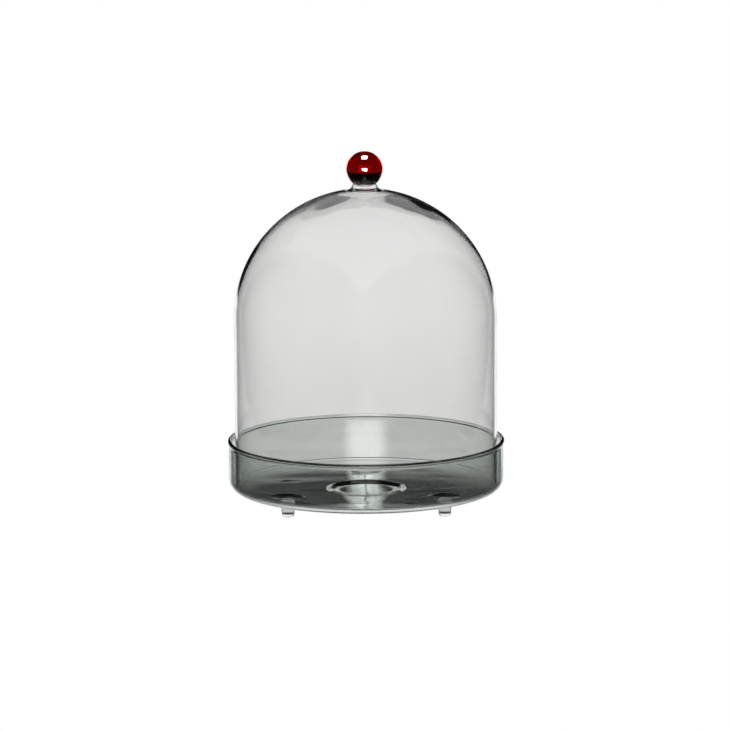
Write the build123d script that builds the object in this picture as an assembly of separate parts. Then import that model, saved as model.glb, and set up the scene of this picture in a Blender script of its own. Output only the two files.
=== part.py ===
from build123d import *

import os
from math import acos, cos, degrees, radians, sin, sqrt, tan

# Glass cloche: a domed cover with a ball handle, standing in a shallow footed tray.
#
# Millimetres, +Z up. The origin is on the axis of turning, at the level of the feet's flat bottoms.
# The front of the object faces -Y. Every node is one solid, and each glass piece is fused to the next
# where they meet, apart from the dome, which stands loose on the tray's floor.

# Tray: a round dish of even thickness, with a straight wall and a rounded bead along the rim
TRAY_WALL_R = 99.4  # outside of the wall
TRAY_T = 2.3
TRAY_UNDERSIDE_Z = 12.0  # in the middle, which is flat
TRAY_CORNER_R = 9.0  # outside, between floor and wall
TRAY_RISE_R = 117.0  # the floor's wide, gentle rise from the flat middle to the corner
TRAY_RISE_ANGLE = 11.6  # slope in degrees where the rise meets the corner
TRAY_RIM_Z = 50.8
RIM_BEAD_R = 1.45  # the bead stands proud of the wall on the outside
RIM_BEAD_CENTRE_R = 98.55

# Sunken round middle of the floor, with a sloping edge
PUNT_R = 30.8
PUNT_FLAT_R = 18.7
PUNT_DEPTH = 1.1

# Shallow hollow in the floor over each foot, where the foot was pressed on
HOLLOW_R = 12.6
HOLLOW_DEPTH = 0.8
CUTTER_RISE = 1.0  # how far the cutters for both stand out above the floor

# Feet: three solid stubs that flare where they meet the tray
FOOT_PITCH_R = 64.7
FOOT_TOP_R = 7.0
FOOT_WAIST_R = 5.2
FOOT_WAIST_Z = 9.4
FOOT_BOTTOM_R = 2.7  # the flat bottom
FOOT_EDGE_R = 1.8
FOOT_ANGLES = {"foot_front_left": 210.0, "foot_front_right": 330.0, "foot_back": 90.0}

# Dome: a straight cylinder with a nearly half-round top, thickest in the middle
DOME_R = 94.7
DOME_RISE = 93.5  # height of the top above the cylinder
SHOULDER_ANGLE = 30.0  # where the shoulder's arc runs into the crown's, above outward
DOME_WALL_T = 1.8
DOME_CROWN_T = 2.8
DOME_SPRING_Z = 138.5  # where the cylinder turns into the top
DOME_SEAT_GAP = 0.3  # kept clear of the tray's curve, so that the dome lifts freely

# Rounded weld inside the dome, under the stem
WELD_R = 8.8
WELD_DROP = 1.2

# Stem: the clear neck between the dome and the ball
STEM_FOOT_R = 14.2
STEM_WAIST_R = 9.7
STEM_WAIST_RISE = 2.4  # height of the waist above the stem's edge on the dome
STEM_NECK_R = 8.3

# Ball handle
BALL_R = 13.1
BALL_CENTRE_Z = 245.9


def on_circle(centre, radius, angle):
    """The point of a circle in the profile plane at this angle above outward."""
    return (
        centre[0] + radius * cos(radians(angle)),
        centre[1] + radius * sin(radians(angle)),
    )


def circle_arc(centre, radius, start, end):
    """Arc of a circle in the profile plane between two angles."""
    return ThreePointArc(*(on_circle(centre, radius, a) for a in (start, (start + end) / 2, end)))


def dome_shoulder(radius, rise):
    """Centre and radius of the tighter arc that leads from the cylinder into the top."""
    share = tan(radians(45 - SHOULDER_ANGLE / 2))
    shoulder_r = (rise - share * radius) / (1 - share)
    return (radius - shoulder_r, DOME_SPRING_Z), shoulder_r


def dome_crown(radius, rise):
    """Centre and radius of the wider arc over the axis, which the shoulder runs into smoothly."""
    (offset, _), shoulder_r = dome_shoulder(radius, rise)
    centre = (0, DOME_SPRING_Z - offset * tan(radians(SHOULDER_ANGLE)))
    return centre, shoulder_r + offset / cos(radians(SHOULDER_ANGLE))


def crown_angle(crown, radius):
    """Angle on the crown's arc at this distance from the axis."""
    return degrees(acos(radius / crown[1]))


def chain(*points):
    """Straight lines joining the points in turn."""
    return [Line(a, b) for a, b in zip(points, points[1:])]


def turned(*edges):
    """The solid made by turning a closed half profile, drawn as (radius, height), about Z."""
    return revolve(Plane.XZ * make_face(Curve() + list(edges)), Axis.Z)


def tray_corner_centre():
    """Centre of the corner's arcs, which are concentric inside and out."""
    height = TRAY_RISE_R - (TRAY_RISE_R - TRAY_CORNER_R) * cos(radians(TRAY_RISE_ANGLE))
    return TRAY_WALL_R - TRAY_CORNER_R, TRAY_UNDERSIDE_Z + height


def tray_surface(depth):
    """One surface of the dish, this far in from the outside: floor, rise, corner and wall."""
    corner = tray_corner_centre()
    slope = TRAY_RISE_ANGLE - 90
    flat_r = corner[0] - (TRAY_RISE_R - TRAY_CORNER_R) * sin(radians(TRAY_RISE_ANGLE))
    rise = (flat_r, TRAY_UNDERSIDE_Z + TRAY_RISE_R)
    wall_r = TRAY_WALL_R - depth
    return [
        Line((0, TRAY_UNDERSIDE_Z + depth), (flat_r, TRAY_UNDERSIDE_Z + depth)),
        circle_arc(rise, TRAY_RISE_R - depth, -90, slope),
        circle_arc(corner, TRAY_CORNER_R - depth, slope, 0),
        Line((wall_r, corner[1]), (wall_r, TRAY_RIM_Z - RIM_BEAD_R)),
    ]


def hollow_cutter(floor_z):
    """Solid that scoops a shallow round hollow out of the floor."""
    top = floor_z + CUTTER_RISE
    sphere_r = (HOLLOW_R**2 + HOLLOW_DEPTH**2) / (2 * HOLLOW_DEPTH)
    centre = (0, floor_z - HOLLOW_DEPTH + sphere_r)
    edge_angle = -degrees(acos(HOLLOW_R / sphere_r))
    return turned(
        circle_arc(centre, sphere_r, -90, edge_angle),
        *chain((HOLLOW_R, floor_z), (HOLLOW_R, top), (0, top), (0, floor_z - HOLLOW_DEPTH)),
    )


def punt_cutter(floor_z):
    """Solid that sinks the middle of the floor, with a sloping edge."""
    top = floor_z + CUTTER_RISE
    low = floor_z - PUNT_DEPTH
    corners = ((0, low), (PUNT_FLAT_R, low), (PUNT_R, floor_z), (PUNT_R, top), (0, top), (0, low))
    return turned(*chain(*corners))


def foot_place(angle):
    """Where a foot stands."""
    return Pos(FOOT_PITCH_R * cos(radians(angle)), FOOT_PITCH_R * sin(radians(angle)), 0)


def make_tray():
    """Dish with a rounded corner, straight wall and rim bead, and shallow hollows in its floor."""
    bead_z = TRAY_RIM_Z - RIM_BEAD_R
    floor_z = TRAY_UNDERSIDE_Z + TRAY_T
    tray = turned(
        *tray_surface(0),
        *tray_surface(TRAY_T),
        Line((0, TRAY_UNDERSIDE_Z), (0, floor_z)),
        Line((TRAY_WALL_R - TRAY_T, bead_z), (TRAY_WALL_R, bead_z)),
    )
    tray += Pos(0, 0, bead_z) * Torus(RIM_BEAD_CENTRE_R, RIM_BEAD_R)
    tray -= punt_cutter(floor_z)
    for angle in FOOT_ANGLES.values():
        tray -= foot_place(angle) * hollow_cutter(floor_z)
    return tray


def make_foot(angle):
    """Stub foot with a flat, round-edged bottom, a gentle taper and a flared top."""
    edge_centre = (FOOT_BOTTOM_R, FOOT_EDGE_R)
    edge_end = (FOOT_BOTTOM_R + FOOT_EDGE_R, FOOT_EDGE_R)
    waist = (FOOT_WAIST_R, FOOT_WAIST_Z)
    top = (FOOT_TOP_R, TRAY_UNDERSIDE_Z)
    foot = turned(
        Line((0, 0), (FOOT_BOTTOM_R, 0)),
        circle_arc(edge_centre, FOOT_EDGE_R, -90, 0),
        Line(edge_end, waist),
        ThreePointArc(waist, (FOOT_WAIST_R + 0.5, (waist[1] + top[1]) / 2 + 0.3), top),
        *chain(top, (0, TRAY_UNDERSIDE_Z), (0, 0)),
    )
    return foot_place(angle) * foot


def dome_lip_z():
    """Height of the centre of the dome's rounded bottom edge, held just off the tray's corner."""
    lip_r = DOME_WALL_T / 2
    corner = tray_corner_centre()
    reach = TRAY_CORNER_R - TRAY_T - lip_r - DOME_SEAT_GAP
    return corner[1] - sqrt(reach**2 - (DOME_R - lip_r - corner[0]) ** 2)


def weld(crown):
    """Rounded swelling on the inside of the crown, rooted in the glass."""
    edge = on_circle(*crown, crown_angle(crown, WELD_R))
    crown_z = crown[0][1] + crown[1]
    root = crown_z + DOME_CROWN_T / 2
    low = (0, crown_z - WELD_DROP)
    middle = (WELD_R * sin(radians(45)), edge[1] - (edge[1] - low[1]) * cos(radians(45)))
    return turned(ThreePointArc(low, middle, edge), *chain(edge, (WELD_R, root), (0, root), low))


def dome_face(radius, rise):
    """One face of the top, from the cylinder to the axis."""
    return [
        circle_arc(*dome_shoulder(radius, rise), 0, SHOULDER_ANGLE),
        circle_arc(*dome_crown(radius, rise), SHOULDER_ANGLE, 90),
    ]


def make_dome():
    """Thin cover: cylinder and rounded top, with a rounded bottom edge and the weld inside."""
    inner_r = DOME_R - DOME_WALL_T
    inner_rise = DOME_RISE - DOME_CROWN_T
    lip_r = DOME_WALL_T / 2
    lip_z = dome_lip_z()
    cover = turned(
        Line((DOME_R, lip_z), (DOME_R, DOME_SPRING_Z)),
        *dome_face(DOME_R, DOME_RISE),
        Line((0, DOME_SPRING_Z + DOME_RISE), (0, DOME_SPRING_Z + inner_rise)),
        *dome_face(inner_r, inner_rise),
        Line((inner_r, DOME_SPRING_Z), (inner_r, lip_z)),
        circle_arc((DOME_R - lip_r, lip_z), lip_r, 180, 360),
    )
    return cover + weld(dome_crown(inner_r, inner_rise))


def make_stem():
    """Clear neck: flares down onto the dome and cups the bottom of the ball."""
    crown = dome_crown(DOME_R, DOME_RISE)
    ball = (0, BALL_CENTRE_Z)
    foot_angle = crown_angle(crown, STEM_FOOT_R)
    neck_angle = -degrees(acos(STEM_NECK_R / BALL_R))
    foot = on_circle(*crown, foot_angle)
    neck = on_circle(ball, BALL_R, neck_angle)
    return turned(
        circle_arc(*crown, 90, foot_angle),
        ThreePointArc(foot, (STEM_WAIST_R, foot[1] + STEM_WAIST_RISE), neck),
        circle_arc(ball, BALL_R, neck_angle, -90),
        Line((0, BALL_CENTRE_Z - BALL_R), (0, DOME_SPRING_Z + DOME_RISE)),
    )


def make_knob():
    """Solid glass ball."""
    return Pos(0, 0, BALL_CENTRE_Z) * Sphere(BALL_R)


nodes = {
    "tray": make_tray(),
    "dome": make_dome(),
    "stem": make_stem(),
    "knob": make_knob(),
}
for name, angle in FOOT_ANGLES.items():
    nodes[name] = make_foot(angle)

os.makedirs("parts", exist_ok=True)
for name, solid in nodes.items():
    solid.label = name
    export_step(solid, f"parts/{name}.step")
    box = solid.bounding_box()
    print(f"{name:16s} volume {solid.volume:10.1f} z {box.min.Z:7.2f} to {box.max.Z:7.2f}")
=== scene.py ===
"""Glass cloche with a red ball handle in a smoked, footed tray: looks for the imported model.

Metres, +Z up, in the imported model's frame. Each glass piece is turned from a smooth profile around
its axis, with the slight waviness of glass worked by hand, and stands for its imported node. The floor,
world and lights are a set for the photograph's view: they show the glass other levels than the camera.
"""
from math import acos, cos, hypot, pi, radians, sin, sqrt, tan

import bpy
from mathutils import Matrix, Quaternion, Vector, noise


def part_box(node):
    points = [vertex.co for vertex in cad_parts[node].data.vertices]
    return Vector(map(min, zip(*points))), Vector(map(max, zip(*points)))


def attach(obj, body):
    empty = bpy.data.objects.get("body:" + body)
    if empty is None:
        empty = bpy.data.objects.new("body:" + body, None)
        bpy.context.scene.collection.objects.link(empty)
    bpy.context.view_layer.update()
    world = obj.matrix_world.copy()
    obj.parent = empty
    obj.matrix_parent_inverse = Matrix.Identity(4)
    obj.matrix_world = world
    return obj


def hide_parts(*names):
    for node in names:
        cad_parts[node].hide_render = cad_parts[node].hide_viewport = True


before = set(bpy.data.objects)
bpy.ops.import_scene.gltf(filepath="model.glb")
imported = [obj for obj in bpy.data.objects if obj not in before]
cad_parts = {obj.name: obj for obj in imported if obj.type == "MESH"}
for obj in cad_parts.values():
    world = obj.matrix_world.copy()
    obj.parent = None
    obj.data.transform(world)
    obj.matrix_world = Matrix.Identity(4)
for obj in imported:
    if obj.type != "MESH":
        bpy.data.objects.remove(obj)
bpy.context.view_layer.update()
MM = 0.001

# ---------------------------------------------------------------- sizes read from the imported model

tray_lo, tray_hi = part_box("tray")
dome_lo, dome_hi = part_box("dome")
_, stem_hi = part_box("stem")
knob_lo, knob_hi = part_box("knob")
FEET = ("foot_front_left", "foot_front_right", "foot_back")

RIM_Z = tray_hi.z
TRAY_RIM_R = tray_hi.x
TRAY_UNDERSIDE_Z = tray_lo.z
DOME_R = dome_hi.x
DOME_TOP_Z = dome_hi.z
DOME_LIP_Z = dome_lo.z
BALL_R = knob_hi.x
BALL_CENTRE_Z = (knob_lo.z + knob_hi.z) / 2
STEM_FOOT_R = stem_hi.x

# Glass thicknesses and roundings, the same as in the solids
TRAY_T = 2.3 * MM
TRAY_WALL_R = TRAY_RIM_R - 0.6 * MM
TRAY_CORNER_R = 9.0 * MM
TRAY_RISE_R = 117.0 * MM
TRAY_RISE_ANGLE = radians(11.6)
RIM_BEAD_R = 1.45 * MM
PUNT_R = 30.8 * MM
PUNT_FLAT_R = 18.7 * MM
PUNT_DEPTH = 1.1 * MM
HOLLOW_R = 12.6 * MM
HOLLOW_DEPTH = 0.8 * MM
DOME_RISE = 93.5 * MM
DOME_T = 1.8 * MM
DOME_CROWN_T = 2.8 * MM
SHOULDER_ANGLE = radians(30)
DOME_SPRING_Z = DOME_TOP_Z - DOME_RISE
WELD_R = 8.8 * MM
WELD_DROP = 1.2 * MM
STEM_WAIST_R = 9.7 * MM
STEM_WAIST_RISE = 2.4 * MM
STEM_NECK_R = 8.3 * MM
NECK_Z = BALL_CENTRE_Z - sqrt(BALL_R ** 2 - STEM_NECK_R ** 2)
FUSE_GAP = 0.02 * MM  # hair's breadth between fused pieces, so that no two faces lie on each other


# ---------------------------------------------------------------- profiles, as (radius, height)

def arc(centre, radius, start, end, steps):
    """Points of a circle between two angles in radians."""
    angles = (start + (end - start) * i / steps for i in range(steps + 1))
    return [(centre[0] + radius * cos(a), centre[1] + radius * sin(a)) for a in angles]


def line(a, b, steps):
    """Evenly spaced points from a to b, without b."""
    return [(a[0] + (b[0] - a[0]) * i / steps, a[1] + (b[1] - a[1]) * i / steps) for i in range(steps)]


def through(a, b, c, steps):
    """Smooth curve through three points, without its last point."""
    points = []
    bend = (b[0] - (a[0] + c[0]) / 4, b[1] - (a[1] + c[1]) / 4)
    for i in range(steps):
        t = i / steps
        shares = ((1 - t) ** 2, 4 * t * (1 - t), t * t)
        points.append(tuple(shares[0] * a[k] + shares[1] * bend[k] + shares[2] * c[k] for k in (0, 1)))
    return points


# ---------------------------------------------------------------- turning a profile into a mesh

ON_AXIS = 1e-7

def turned(name, profile, segments, shape=None):
    """Mesh turned from a closed profile; its points on the axis become single vertices.

    shape(point, index) may move each point; index is its place in the profile.
    """
    rings, vertices, faces = [], [], []
    for i, (r, z) in enumerate(profile):
        count = 1 if r < ON_AXIS else segments
        rings.append(range(len(vertices), len(vertices) + count))
        for s in range(count):
            angle = 2 * pi * s / segments
            point = Vector((r * cos(angle), r * sin(angle), z)) if count > 1 else Vector((0, 0, z))
            vertices.append(shape(point, i) if shape else point)
    for low, high in zip(rings, rings[1:] + rings[:1]):
        if len(low) == len(high) == 1:
            continue
        for s in range(segments):
            t = (s + 1) % segments
            corners = [low[s % len(low)], low[t % len(low)], high[t % len(high)], high[s % len(high)]]
            faces.append(list(dict.fromkeys(corners)))  # a face at the axis has three corners
    mesh = bpy.data.meshes.new(name)
    mesh.from_pydata([v[:] for v in vertices], [], faces)
    mesh.shade_smooth()
    mesh.update()
    return mesh


def piece(name, mesh, material, body, slot, *nodes):
    """Puts a mesh in the scene as the piece that stands for these nodes."""
    ob = bpy.data.objects.new(name, mesh)
    bpy.context.scene.collection.objects.link(ob)
    mesh.materials.append(material)
    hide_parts(*nodes)
    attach(ob, body)
    return ob


def ramp_up(value, start, end):
    """0 up to start, 1 from end and straight between them."""
    return min(max((value - start) / (end - start), 0.0), 1.0)


def wave(point, size, seed):
    """Smooth noise in about -1 to 1 with this wavelength."""
    return noise.noise(Vector(point) / size + Vector((seed, seed * 0.7, -seed)))


# ---------------------------------------------------------------- materials

def node(tree, kind, place, **values):
    """A shader node with its properties set."""
    n = tree.nodes.new(kind)
    n.location = place
    for key, value in values.items():
        setattr(n, key, value)
    return n


def glass(name, tint_low, tint_high, depth_colour=None, depth=0.0, ior=1.48, streak=0.02,
          streak_stretch=(1, 1, 1), ripple=0.02, ripple_size=0.02):
    """Clear or coloured glass: faint streaks of tone and a fire-polished ripple."""
    m = bpy.data.materials.new(name)
    m.use_nodes = True
    tree = m.node_tree
    tree.nodes.clear()
    out = node(tree, "ShaderNodeOutputMaterial", (900, 0))
    shader = node(tree, "ShaderNodeBsdfPrincipled", (560, 0))
    shader.inputs["Transmission Weight"].default_value = 1.0
    shader.inputs["IOR"].default_value = ior
    shader.inputs["Roughness"].default_value = 0.0
    tree.links.new(shader.outputs[0], out.inputs["Surface"])
    where = node(tree, "ShaderNodeTexCoord", (-900, 0))
    stretch = node(tree, "ShaderNodeMapping", (-700, 150))
    stretch.inputs["Scale"].default_value = streak_stretch
    tree.links.new(where.outputs["Object"], stretch.inputs["Vector"])
    streaks = node(tree, "ShaderNodeTexNoise", (-480, 150))
    streaks.inputs["Scale"].default_value = 1 / streak
    streaks.inputs["Detail"].default_value = 3.0
    tree.links.new(stretch.outputs[0], streaks.inputs["Vector"])
    tones = node(tree, "ShaderNodeValToRGB", (-240, 150))
    tones.color_ramp.elements[0].position = 0.3
    tones.color_ramp.elements[0].color = (*tint_low, 1)
    tones.color_ramp.elements[1].position = 0.7
    tones.color_ramp.elements[1].color = (*tint_high, 1)
    tree.links.new(streaks.outputs["Fac"], tones.inputs["Fac"])
    tree.links.new(tones.outputs["Color"], shader.inputs["Base Color"])
    ripples = node(tree, "ShaderNodeTexNoise", (-480, -200))
    ripples.inputs["Scale"].default_value = 1 / ripple_size
    ripples.inputs["Detail"].default_value = 1.0
    tree.links.new(where.outputs["Object"], ripples.inputs["Vector"])
    bump = node(tree, "ShaderNodeBump", (200, -250))
    bump.inputs["Strength"].default_value = ripple
    bump.inputs["Distance"].default_value = ripple_size / 4
    tree.links.new(ripples.outputs["Fac"], bump.inputs["Height"])
    tree.links.new(bump.outputs["Normal"], shader.inputs["Normal"])
    if depth_colour:
        volume = node(tree, "ShaderNodeVolumeAbsorption", (560, -420))
        volume.inputs["Color"].default_value = (*depth_colour, 1)
        volume.inputs["Density"].default_value = depth
        tree.links.new(volume.outputs[0], out.inputs["Volume"])
    return m


CLEAR = glass("clear_glass", (0.912, 0.914, 0.908), (0.930, 0.930, 0.926), streak=0.03,
              streak_stretch=(1, 1, 0.35), ripple=0.012, ripple_size=0.03)
STEM = glass("stem_glass", (0.95, 0.95, 0.945), (0.97, 0.97, 0.965), streak=0.004, ripple=0.02,
             ripple_size=0.006)
FOOT = glass("foot_glass", (0.93, 0.95, 0.95), (0.96, 0.97, 0.97), streak=0.004, ripple=0.03,
             ripple_size=0.004)
SMOKE_DEPTH_COLOUR, SMOKE_DEPTH = (0.40, 0.50, 0.48), 60.0
RED_DEPTH_COLOUR, RED_DEPTH = (0.55, 0.01, 0.01), 150.0
SMOKE = glass("smoked_glass", (0.745, 0.765, 0.745), (0.785, 0.805, 0.785), depth_colour=SMOKE_DEPTH_COLOUR,
              depth=SMOKE_DEPTH, streak=0.03, streak_stretch=(1, 1, 2.5), ripple=0.02, ripple_size=0.02)
RED = glass("red_glass", (0.72, 0.006, 0.008), (0.80, 0.010, 0.012), depth_colour=RED_DEPTH_COLOUR,
            depth=RED_DEPTH, streak=0.01, ripple=0.01, ripple_size=0.01)


# ---------------------------------------------------------------- dome

DOME_WAVE = 46 * MM  # length of the slow waves in the dome's inside
DOME_QUICK_WAVE = 17 * MM
DOME_WAVE_STRETCH = 0.6  # heights count less, so the waves run up the dome
DOME_WAVE_DEPTH = 0.05 * MM
SHOULDER_WAVE_DEPTH = 0.65 * MM  # more of the slow waves over the shoulder
SHOULDER_QUICK_DEPTH = 0.12 * MM
SHOULDER_THICKER = 0.45 * MM  # the wall is this much thicker there
SHOULDER_FROM, SHOULDER_TO = 0.2, 0.7  # shares of the dome's rise over which the shoulder sets in
SETTLE = 12 * MM  # the waves fade in over this length


def dome_shoulder(radius, rise):
    """Centre and radius of the tighter arc that leads from the cylinder into the top."""
    share = tan((pi / 2 - SHOULDER_ANGLE) / 2)
    shoulder_r = (rise - share * radius) / (1 - share)
    return (radius - shoulder_r, DOME_SPRING_Z), shoulder_r


def dome_crown(radius, rise):
    """Centre and radius of the wider arc over the axis."""
    (offset, _), shoulder_r = dome_shoulder(radius, rise)
    return (0, DOME_SPRING_Z - offset * tan(SHOULDER_ANGLE)), shoulder_r + offset / cos(SHOULDER_ANGLE)


def dome_face(radius, rise):
    """One face of the top, from the cylinder to the axis."""
    shoulder = arc(*dome_shoulder(radius, rise), 0, SHOULDER_ANGLE, 40)
    return shoulder[:-1] + arc(*dome_crown(radius, rise), SHOULDER_ANGLE, pi / 2, 90)


def make_dome():
    """Thin cover with slow waves in its inner face, strongest over the shoulder, and the weld inside."""
    inner_r = DOME_R - DOME_T
    lip_r = DOME_T / 2
    lip_z = DOME_LIP_Z + lip_r
    outside = line((DOME_R, lip_z), (DOME_R, DOME_SPRING_Z), 40) + dome_face(DOME_R, DOME_RISE)
    inside = line((inner_r, lip_z), (inner_r, DOME_SPRING_Z), 40)[1:]
    inside += dome_face(inner_r, DOME_RISE - DOME_CROWN_T)
    lip = arc((DOME_R - lip_r, lip_z), lip_r, -pi, 0, 10)[:-1]
    first_inside = len(outside)
    end_inside = len(outside) + len(inside)

    def waves(point, index):
        if not first_inside <= index < end_inside:
            return point
        r = hypot(point.x, point.y)
        if r < WELD_R:
            point = point - Vector((0, 0, WELD_DROP * (1 - (r / WELD_R) ** 2)))
        height = (point.z - DOME_SPRING_Z) / DOME_RISE
        outward = (point - Vector((0, 0, DOME_SPRING_Z if height > 0 else point.z))).normalized()
        shoulder = ramp_up(height, SHOULDER_FROM, SHOULDER_TO)
        settled = ramp_up(r, WELD_R, WELD_R + SETTLE)
        slow = wave((point.x, point.y, point.z * DOME_WAVE_STRETCH), DOME_WAVE, seed=3.1)
        quick = wave(point, DOME_QUICK_WAVE, seed=5.3)
        depth = (DOME_WAVE_DEPTH + SHOULDER_WAVE_DEPTH * shoulder) * slow
        depth += (SHOULDER_QUICK_DEPTH * quick - SHOULDER_THICKER) * shoulder
        return point + outward * (depth * settled)

    return turned("dome_glass", outside + inside[::-1] + lip, 256, waves)


piece("dome_glass", make_dome(), CLEAR, "cloche", "clear_glass", "dome")


# ---------------------------------------------------------------- stem and ball

COLLAR_DROP = 0.5 * MM  # the collar lies this far under the waist of the solid
SKIRT = (1.9 * MM, 0.8 * MM)  # middle of the flare: out from the collar's radius, up from its foot
NECK_BULGE = 0.8 * MM
BALL_UNEVEN = 0.05 * MM
BALL_WAVE = 14 * MM


def make_stem():
    """Neck between dome and ball, a hair clear of both."""
    centre, radius = dome_crown(DOME_R, DOME_RISE)
    ball = (0, BALL_CENTRE_Z)
    neck_angle = -acos(STEM_NECK_R / BALL_R)
    bottom = arc(centre, radius + FUSE_GAP, pi / 2, acos(STEM_FOOT_R / radius), 24)
    cup = arc(ball, BALL_R + FUSE_GAP, neck_angle, -pi / 2, 24)
    foot, neck = bottom[-1], cup[0]
    collar = (STEM_WAIST_R, foot[1] + STEM_WAIST_RISE - COLLAR_DROP)
    skirt = through(foot, (STEM_WAIST_R + SKIRT[0], foot[1] + SKIRT[1]), collar, 16)
    side = through(collar, (STEM_NECK_R + NECK_BULGE, (collar[1] + neck[1]) / 2), neck, 12)
    return turned("stem_glass", bottom[:-1] + skirt + side + cup, 160)


def make_ball():
    """Ball, with the faintest unevenness of hand work."""

    def uneven(point, index):
        outward = (point - Vector((0, 0, BALL_CENTRE_Z))).normalized()
        return point - outward * (BALL_UNEVEN * (1 + wave(point, BALL_WAVE, seed=2.2)))

    return turned("knob_ball", arc((0, BALL_CENTRE_Z), BALL_R, -pi / 2, pi / 2, 96), 160, uneven)


stem = piece("stem_neck", make_stem(), STEM, "cloche", "stem_glass", "stem")
knob = piece("knob_ball", make_ball(), RED, "cloche", "red_glass", "knob")


# ---------------------------------------------------------------- tray

FLOOR_END_R = 86 * MM  # the floor's waves and hollows end here
FLOOR_WAVE = 21 * MM
FLOOR_WAVE_STRETCH = 0.5  # the waves are longer from side to side
FLOOR_WAVE_DEPTH = 0.24 * MM


def tray_surface(depth):
    """Profile points of one face of the dish, this far in from its outside, from axis to rim."""
    corner_r = TRAY_WALL_R - TRAY_CORNER_R
    corner_z = TRAY_UNDERSIDE_Z + TRAY_RISE_R - (TRAY_RISE_R - TRAY_CORNER_R) * cos(TRAY_RISE_ANGLE)
    flat_r = corner_r - (TRAY_RISE_R - TRAY_CORNER_R) * sin(TRAY_RISE_ANGLE)
    slope = TRAY_RISE_ANGLE - pi / 2
    wall_r = TRAY_WALL_R - depth
    points = line((0, TRAY_UNDERSIDE_Z + depth), (flat_r, TRAY_UNDERSIDE_Z + depth), 90)
    points += arc((flat_r, TRAY_UNDERSIDE_Z + TRAY_RISE_R), TRAY_RISE_R - depth, -pi / 2, slope, 20)[:-1]
    points += arc((corner_r, corner_z), TRAY_CORNER_R - depth, slope, 0, 24)[:-1]
    points += line((wall_r, corner_z), (wall_r, RIM_Z - 2 * RIM_BEAD_R), 16)
    return points


def hollow(distance, radius):
    """Depth from 0 to 1 of a shallow round hollow at this distance from its middle."""
    return 1 - min(distance / radius, 1.0) ** 2


def punt(distance):
    """Depth from 0 to 1 of the sunken middle of the floor, with its smooth sloping edge."""
    share = ramp_up(-distance, -PUNT_R, -PUNT_FLAT_R)
    return share * share * (3 - 2 * share)


def make_tray():
    """Dish with rim bead, sunken middle, the hollows over the feet and slow waves in its floor."""
    outside = tray_surface(0)
    inside = tray_surface(TRAY_T)
    bead = arc((TRAY_RIM_R - RIM_BEAD_R, RIM_Z - RIM_BEAD_R), RIM_BEAD_R, radians(-55), pi, 24)
    first_inside = len(outside) + len(bead)
    middles = [(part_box(foot)[0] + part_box(foot)[1]) / 2 for foot in FEET]

    def shape(point, index):
        r = hypot(point.x, point.y)
        if index < first_inside or r > FLOOR_END_R:
            return point
        lift = -PUNT_DEPTH * punt(r)
        for middle in middles:
            lift -= HOLLOW_DEPTH * hollow(hypot(point.x - middle.x, point.y - middle.y), HOLLOW_R)
        calm = ramp_up(-r, -FLOOR_END_R, SETTLE - FLOOR_END_R)
        ripple = wave((point.x * FLOOR_WAVE_STRETCH, point.y, 0), FLOOR_WAVE, seed=7.7)
        lift += FLOOR_WAVE_DEPTH * calm * ripple
        return point + Vector((0, 0, lift))

    return turned("tray_glass", outside + bead + inside[::-1], 320, shape)


piece("tray_glass", make_tray(), SMOKE, "base", "smoked_glass", "tray")


# ---------------------------------------------------------------- feet

FOOT_BOTTOM_R = 2.7 * MM
FOOT_EDGE_R = 1.8 * MM
FOOT_WAIST = (5.2 * MM, 9.4 * MM)
FOOT_BULGE = (0.5 * MM, 0.3 * MM)


def make_foot(name):
    """Stub with a rounded flat bottom, a gentle taper and a flare at the tray."""
    lo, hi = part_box(name)
    place = Vector(((lo.x + hi.x) / 2, (lo.y + hi.y) / 2, 0))
    top = ((hi.x - lo.x) / 2, hi.z - FUSE_GAP)
    flare = (FOOT_WAIST[0] + FOOT_BULGE[0], (FOOT_WAIST[1] + hi.z) / 2 + FOOT_BULGE[1])
    profile = line((0, 0), (FOOT_BOTTOM_R, 0), 6)
    profile += arc((FOOT_BOTTOM_R, FOOT_EDGE_R), FOOT_EDGE_R, -pi / 2, 0, 10)[:-1]
    profile += line((FOOT_BOTTOM_R + FOOT_EDGE_R, FOOT_EDGE_R), FOOT_WAIST, 8)
    profile += through(FOOT_WAIST, flare, top, 10)
    profile += line(top, (0, top[1]), 8) + [(0, top[1])]
    return turned(name + "_glass", profile, 96, lambda point, index: point + place)


feet = [piece(foot + "_glass", make_foot(foot), FOOT, "base", "foot_glass", foot) for foot in FEET]


# ---------------------------------------------------------------- floor and light

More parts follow.
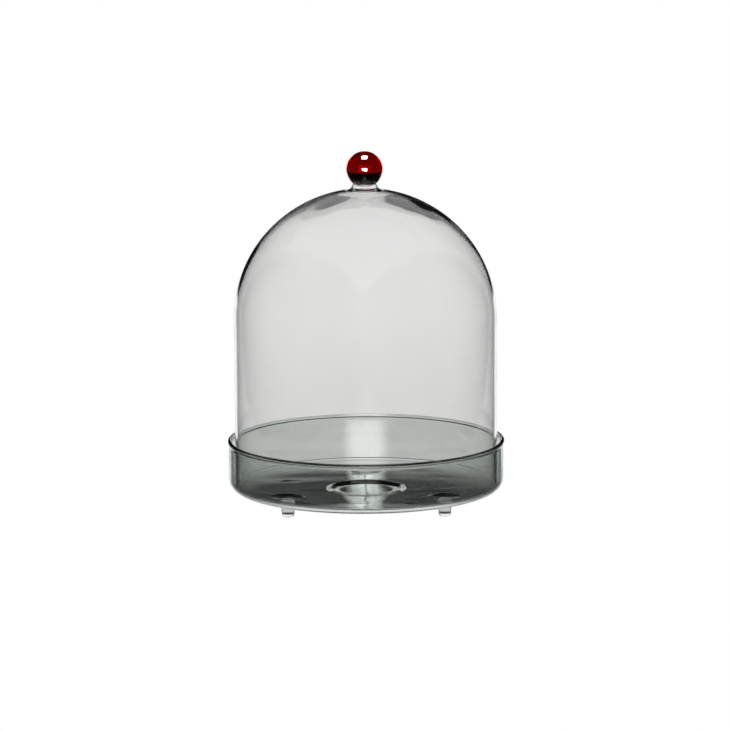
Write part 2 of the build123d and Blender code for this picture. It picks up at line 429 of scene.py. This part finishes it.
class Sums:
    """Short way to chain maths nodes in one tree."""

    def __init__(self, tree):
        self.tree = tree

    def put(self, target, value):
        """Sets a socket to a number, or links it to an output."""
        if isinstance(value, (int, float)):
            target.default_value = value
        else:
            self.tree.links.new(value, target)

    def maths(self, operation, a, b=0.0, c=0.0):
        """Result of one maths node."""
        n = self.tree.nodes.new("ShaderNodeMath")
        n.operation = operation
        for target, value in zip(n.inputs, (a, b, c)):
            self.put(target, value)
        return n.outputs[0]

    def ramp(self, value, start, end, low, high):
        """Soft step: low up to start, high from end."""
        n = self.tree.nodes.new("ShaderNodeMapRange")
        n.interpolation_type = "SMOOTHSTEP"
        for key, number in (("From Min", start), ("From Max", end), ("To Min", low), ("To Max", high)):
            n.inputs[key].default_value = number
        self.put(n.inputs["Value"], value)
        return n.outputs["Result"]

    def mix(self, share, a, b):
        """a where share is 0, b where it is 1."""
        more = self.maths("SUBTRACT", b, a)
        return self.maths("MULTIPLY_ADD", share, more, a)

    def parts(self, vector):
        """The x, y and z of a vector."""
        n = self.tree.nodes.new("ShaderNodeSeparateXYZ")
        self.tree.links.new(vector, n.inputs[0])
        return n.outputs[0], n.outputs[1], n.outputs[2]

    def mirrored(self):
        """1 for a ray that has been mirrored on its way."""
        n = self.tree.nodes.new("ShaderNodeLightPath")
        return self.maths("GREATER_THAN", n.outputs["Glossy Depth"], 0.5)

    def in_tray(self):
        """1 for a ray that has gone through more glass faces than lie in front of the tray's inside."""
        n = self.tree.nodes.new("ShaderNodeLightPath")
        return self.maths("GREATER_THAN", n.outputs["Transmission Depth"], FACES_BEFORE_TRAY + 0.5)

    def lit_part(self, side, y, spread, half_width):
        """Lit part of the surroundings, which widens away from the camera, with soft edges."""
        inside = self.maths("SUBTRACT", self.maths("MULTIPLY_ADD", y, spread, half_width), side)
        return self.ramp(inside, -LIT_EDGE, LIT_EDGE, UNLIT, 1.0)

    def by_path(self, seen_through, mirrored):
        """White to the camera, and these levels to rays through the glass and to mirrored rays."""
        n = self.tree.nodes.new("ShaderNodeLightPath")
        level = self.mix(self.mirrored(), seen_through, mirrored)
        return self.mix(n.outputs["Is Camera Ray"], level, 1.0)


# The set's brightness, which is white to the camera, as the glass shows it
FACES_BEFORE_TRAY = 3
MIRRORED_SPREAD = tan(radians(15))  # how fast the lit part widens that shows inside the tray
OUTLINE_SPREAD = tan(radians(25))  # and the one that shows along the outlines
LIT_HALF_WIDTH = 0.10  # half-width of the lit part of the floor beside the object
LIT_EDGE = 0.02
UNLIT = 0.04
STUDIO_DARK = 0.01
SHADE_R, SHADE_END_R = 0.085, 0.15  # radii between which the shade under the tray ends
SHADE_LEVEL, OPEN_LEVEL = 0.03, 0.90
FAR_R, FAR_END_R, FAR_EXTRA = 0.3, 1.0, 0.10  # far floor, which is brighter by this much
GLINT_HALF_WIDTH, GLINT_END = 0.008, 0.022  # bright strip of floor behind the tray: its side edges,
GLINT_NEAR, GLINT_NEAR_END = 0.11, 0.18  # where it starts
GLINT_FAR, GLINT_FAR_END = 0.31, 0.38  # and where it stops
GLINT_EXTRA = 0.55
OUTLINE_FADE, OUTLINE_FADE_END, OUTLINE_FAR_LEVEL = 1.7, 2.5, 0.01
HORIZON, HORIZON_END = sin(radians(1.5)), sin(radians(3.5))
MIRRORED_HORIZON, MIRRORED_HORIZON_END = sin(radians(3)), sin(radians(6))
DIM_SKY, DIM_SKY_END, DIM_SKY_LEVEL = sin(radians(14)), sin(radians(19)), 0.2


def floor_white():
    """White floor; to rays through the glass it shows a painted shadow under the tray and a painted bright
    strip behind it.
    """
    m = bpy.data.materials.new("floor_white")
    m.use_nodes = True
    tree = m.node_tree
    tree.nodes.clear()
    out = node(tree, "ShaderNodeOutputMaterial", (600, 0))
    glow = node(tree, "ShaderNodeEmission", (400, 0))
    tree.links.new(glow.outputs[0], out.inputs["Surface"])
    sums = Sums(tree)
    where = node(tree, "ShaderNodeNewGeometry", (-900, 0))
    x, y, _ = sums.parts(where.outputs["Position"])
    r = sums.maths("SQRT", sums.maths("ADD", sums.maths("MULTIPLY", x, x), sums.maths("MULTIPLY", y, y)))
    side = sums.maths("ABSOLUTE", x)

    # painted shadow under the tray: the floor's glow is turned down there for rays through the glass
    floor_with_painted_shadow = sums.ramp(r, SHADE_R, SHADE_END_R, SHADE_LEVEL, OPEN_LEVEL)
    seen_through = sums.maths("ADD", floor_with_painted_shadow, sums.ramp(r, FAR_R, FAR_END_R, 0.0, FAR_EXTRA))
    # painted bright strip of floor behind the tray, a painted glint that the glass shows
    glint = sums.maths("MULTIPLY", sums.ramp(y, GLINT_NEAR, GLINT_NEAR_END, 0.0, 1.0),
                       sums.ramp(y, GLINT_FAR, GLINT_FAR_END, 1.0, 0.0))
    glint = sums.maths("MULTIPLY", sums.ramp(side, GLINT_HALF_WIDTH, GLINT_END, 1.0, 0.0), glint)
    seen_through = sums.maths("MULTIPLY_ADD", glint, GLINT_EXTRA, seen_through)

    tray_part = sums.lit_part(side, y, MIRRORED_SPREAD, LIT_HALF_WIDTH)
    outline_part = sums.maths("MULTIPLY", sums.lit_part(side, y, OUTLINE_SPREAD, LIT_HALF_WIDTH),
                              sums.ramp(y, OUTLINE_FADE, OUTLINE_FADE_END, 1.0, OUTLINE_FAR_LEVEL))
    mirrored = sums.mix(sums.in_tray(), outline_part, tray_part)
    sums.put(glow.inputs["Strength"], sums.by_path(seen_through, mirrored))
    return m


def flat_plate(name, corners, material):
    """Four-cornered plate of the set."""
    mesh = bpy.data.meshes.new(name)
    mesh.from_pydata(corners, [], [(0, 1, 2, 3)])
    mesh.materials.append(material)
    ob = bpy.data.objects.new(name, mesh)
    bpy.context.scene.collection.objects.link(ob)
    return ob


FLOOR_SPAN = 12.0
flat_plate("floor", [(-FLOOR_SPAN, -FLOOR_SPAN, 0), (FLOOR_SPAN, -FLOOR_SPAN, 0),
                     (FLOOR_SPAN, FLOOR_SPAN, 0), (-FLOOR_SPAN, FLOOR_SPAN, 0)], floor_white())


def make_world():
    """White up to the horizon and dark studio above it; white to the camera."""
    world = bpy.data.worlds.new("studio")
    bpy.context.scene.world = world
    world.use_nodes = True
    tree = world.node_tree
    tree.nodes.clear()
    out = node(tree, "ShaderNodeOutputWorld", (700, 0))
    background = node(tree, "ShaderNodeBackground", (500, 0))
    tree.links.new(background.outputs[0], out.inputs["Surface"])
    where = node(tree, "ShaderNodeTexCoord", (-700, 0))
    sums = Sums(tree)
    x, y, z = sums.parts(where.outputs["Generated"])
    side = sums.maths("ABSOLUTE", x)
    seen_through = sums.maths("MAXIMUM", sums.ramp(z, HORIZON, HORIZON_END, 1.0, 0.0), STUDIO_DARK)
    mirrored = sums.maths("MULTIPLY", sums.ramp(z, MIRRORED_HORIZON, MIRRORED_HORIZON_END, 1.0, 0.0),
                          sums.lit_part(side, y, MIRRORED_SPREAD, 0.0))
    mirrored = sums.maths("MAXIMUM", mirrored, sums.ramp(z, DIM_SKY, DIM_SKY_END, DIM_SKY_LEVEL, 0.0))
    mirrored = sums.maths("MAXIMUM", sums.maths("MULTIPLY", mirrored, sums.in_tray()), STUDIO_DARK)
    sums.put(background.inputs["Strength"], sums.by_path(seen_through, mirrored))


make_world()


CARD_SOFT = 0.4  # share of the card's half-width where its side edges start to fade
CARD_TALL_SOFT = 0.6  # and of its half-height
CARD_SEAM, CARD_SEAM_END, CARD_SEAM_LEVEL = 0.03, 0.09, 0.35  # thin dimmer line up its middle


def strip_card(name, centre, half_width, half_height, strength):
    """Upright strip light behind the object, soft at its edges, that shows only in reflections."""
    m = bpy.data.materials.new(name)
    m.use_nodes = True
    tree = m.node_tree
    tree.nodes.clear()
    out = node(tree, "ShaderNodeOutputMaterial", (300, 0))
    glow = node(tree, "ShaderNodeEmission", (100, 0))
    clear = node(tree, "ShaderNodeBsdfTransparent", (100, -150))
    either = node(tree, "ShaderNodeMixShader", (200, 0))
    sums = Sums(tree)
    where = node(tree, "ShaderNodeNewGeometry", (-900, 0))
    across, _, up = sums.parts(where.outputs["Position"])
    x, y, z = centre
    side = sums.maths("ABSOLUTE", sums.maths("SUBTRACT", across, x))
    tall = sums.maths("ABSOLUTE", sums.maths("SUBTRACT", up, z))
    level = sums.ramp(side, half_width * CARD_SOFT, half_width, strength, 0.0)
    seam = sums.ramp(side, half_width * CARD_SEAM, half_width * CARD_SEAM_END, CARD_SEAM_LEVEL, 1.0)
    ends = sums.ramp(tall, half_height * CARD_TALL_SOFT, half_height, 1.0, 0.0)
    level = sums.maths("MULTIPLY", sums.maths("MULTIPLY", level, seam), ends)
    sums.put(glow.inputs["Strength"], level)
    sums.put(either.inputs["Fac"], sums.mirrored())
    tree.links.new(clear.outputs[0], either.inputs[1])
    tree.links.new(glow.outputs[0], either.inputs[2])
    tree.links.new(either.outputs[0], out.inputs["Surface"])
    ob = flat_plate(name, [
        (x - half_width, y, z - half_height), (x + half_width, y, z - half_height),
        (x + half_width, y, z + half_height), (x - half_width, y, z + half_height)], m)
    ob.visible_camera = False
    ob.visible_diffuse = False
    ob.visible_shadow = False


CARD_Y = 1.2
CARD_OVER_RIM = 0.215
strip_card("strip_behind", (0.0, CARD_Y, RIM_Z + CARD_OVER_RIM), half_width=0.030, half_height=0.10,
           strength=3.6)


def softbox(name, place, aim_at, width, height, brightness, receivers):
    """Area light of an even brightness that only these pieces show."""
    data = bpy.data.lights.new(name, "AREA")
    data.shape = "RECTANGLE"
    data.size, data.size_y = width, height
    data.energy = brightness * pi * width * height
    ob = bpy.data.objects.new(name, data)
    bpy.context.scene.collection.objects.link(ob)
    ob.location = place
    ob.rotation_mode = "QUATERNION"
    ob.rotation_quaternion = (Vector(aim_at) - Vector(place)).to_track_quat("-Z", "Y")
    ob.visible_camera = False
    group = bpy.data.collections.new(name + "_on")
    for receiver in receivers:
        group.objects.link(receiver)
    ob.light_linking.receiver_collection = group


FOOT_LIGHT_BEHIND = 0.03


def foot_light(foot):
    """Small light behind a foot, at half the height of its waist."""
    middle = sum((v.co for v in foot.data.vertices), Vector()) / len(foot.data.vertices)
    middle.z = FOOT_WAIST[1] / 2
    place = middle + Vector((0, FOOT_LIGHT_BEHIND, 0))
    softbox(foot.name + "_light", place, middle, width=0.05, height=0.016, brightness=0.5, receivers=[foot])


ball_at = (0, 0, BALL_CENTRE_Z)
softbox("softbox_over", (0, -0.05, BALL_CENTRE_Z + 1.2), ball_at, width=0.62, height=0.58, brightness=60,
        receivers=[knob])
softbox("softbox_front", (0, -2.8, BALL_CENTRE_Z + 0.20), ball_at, width=1.4, height=0.75, brightness=230,
        receivers=[knob])
softbox("stem_light", (0, 0.04, NECK_Z - 4 * MM), (0, 0, NECK_Z), width=0.07, height=0.02, brightness=0.8,
        receivers=[stem])
for foot in feet:
    foot_light(foot)

bpy.context.scene.view_settings.view_transform = "Standard"

# ---------------------------------------------------------------- camera

CAMERA_FAR = 2.400
CAMERA_UP = radians(8.87)
AIM_Z = RIM_Z + 81.36 * MM
SENSOR_WIDTH = 36  # mm
LENS = 164.0902  # mm
SHIFT_X, SHIFT_Y = 0.00082, -0.053552  # shares of the sensor's width
ROLL = radians(0.33)

aim = Vector((0, 0, AIM_Z))
back = Vector((0, -cos(CAMERA_UP), sin(CAMERA_UP)))
camera_data = bpy.data.cameras.new("camera")
camera_data.sensor_width = SENSOR_WIDTH
camera_data.lens = LENS
camera_data.shift_x = SHIFT_X
camera_data.shift_y = SHIFT_Y
camera = bpy.data.objects.new("camera", camera_data)
bpy.context.scene.collection.objects.link(camera)
camera.location = aim + back * CAMERA_FAR
camera.rotation_mode = "QUATERNION"
camera.rotation_quaternion = Quaternion(back, -ROLL) @ (-back).to_track_quat("-Z", "Y")
bpy.context.scene.camera = camera
